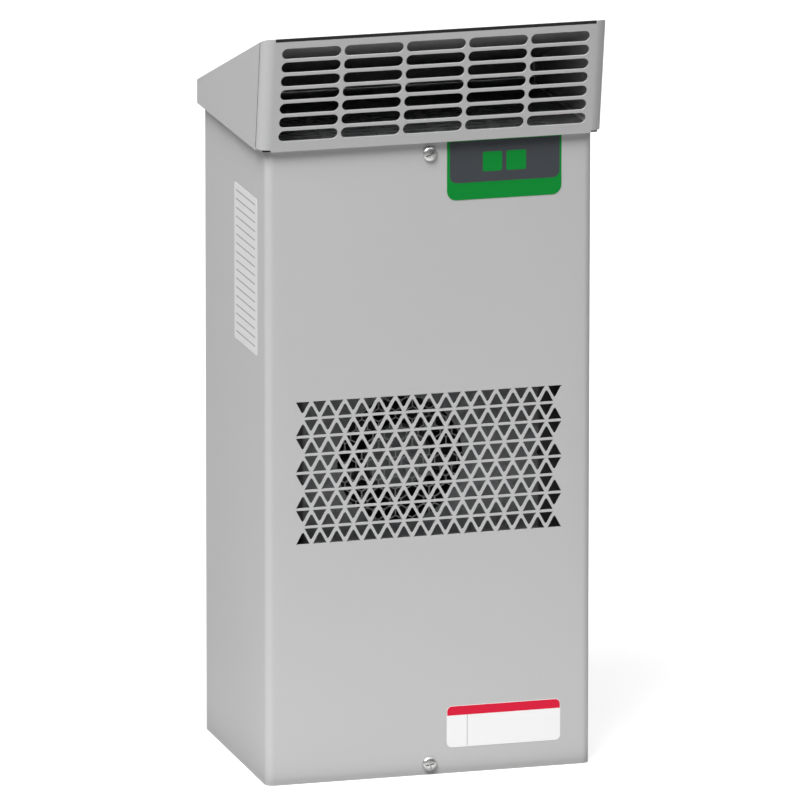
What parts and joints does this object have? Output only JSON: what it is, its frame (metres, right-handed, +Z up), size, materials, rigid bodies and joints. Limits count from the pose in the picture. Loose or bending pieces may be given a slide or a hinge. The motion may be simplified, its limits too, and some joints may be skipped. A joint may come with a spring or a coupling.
{
  "type": "enclosure cooling unit",
  "caption": "Slim cooling unit for an equipment cabinet: sheet-metal housing with triangle-perforated air intake, fan behind it, and a wider slotted rain hood on top.",
  "frame": {"origin": "centre of the outline on the floor plane, at the bottom of the housing", "axes": "+X to the right seen from the front, +Y from the front to the cabinet side, +Z up"},
  "size_m": [0.294, 0.2158, 0.6405],
  "materials": {
    "cover": "light grey powder coat",
    "base_pan": "light grey powder coat",
    "top_plate": "galvanised sheet",
    "exhaust_screen": "galvanised sheet",
    "back_plate": "light grey powder coat",
    "mounting_nuts": "zinc plated",
    "rear_gasket": "black foam rubber",
    "partition": "galvanised sheet",
    "fan_plate": "galvanised sheet",
    "fan_guard": "grey mesh",
    "fan_frame": "black moulded",
    "fan_rotor": "black moulded",
    "condenser_core": "dark coated fins",
    "condenser_ends": "galvanised sheet",
    "hood_front": "light grey powder coat",
    "hood_top_seal": "black edge strip",
    "hood_side_right": "light grey powder coat",
    "hood_side_left": "light grey powder coat",
    "hood_roof": "light grey powder coat",
    "cover_screws": "zinc plated",
    "cabinet_fan_frame": "black moulded",
    "cabinet_fan_rotor": "black moulded",
    "inlet_guard": "light grey powder coat",
    "outlet_grille": "light grey powder coat",
    "power_connector": "black moulded",
    "drip_tray": "galvanised sheet",
    "evaporator_core": "plain fins"
  },
  "bodies": {
    "unit": {"cover": "cover", "base_pan": "base_pan", "top_plate": "top_plate", "exhaust_screen": "exhaust_screen", "back_plate": "back_plate", "mounting_nuts": "mounting_nuts", "rear_gasket": "rear_gasket", "partition": "partition", "fan_plate": "fan_plate", "fan_guard": "fan_guard", "fan_frame": "fan_frame", "condenser_core": "condenser_core", "condenser_ends": "condenser_ends", "hood_front": "hood_front", "hood_top_seal": "hood_top_seal", "hood_side_right": "hood_side_right", "hood_side_left": "hood_side_left", "hood_roof": "hood_roof", "cover_screws": "cover_screws", "cabinet_fan_frame": "cabinet_fan_frame", "cabinet_fan_rotor": "cabinet_fan_rotor", "inlet_guard": "inlet_guard", "outlet_grille": "outlet_grille", "power_connector": "power_connector", "drip_tray": "drip_tray", "evaporator_core": "evaporator_core"},
    "rotor": {"fan_rotor": "fan_rotor"}
  },
  "joints": [
    {"name": "fan_spin", "type": "hinge", "parent": "unit", "child": "rotor", "pos_m": [-0.018, -0.03609, 0.2657], "axis": [0, 1, 0], "continuous": true}
  ]
}
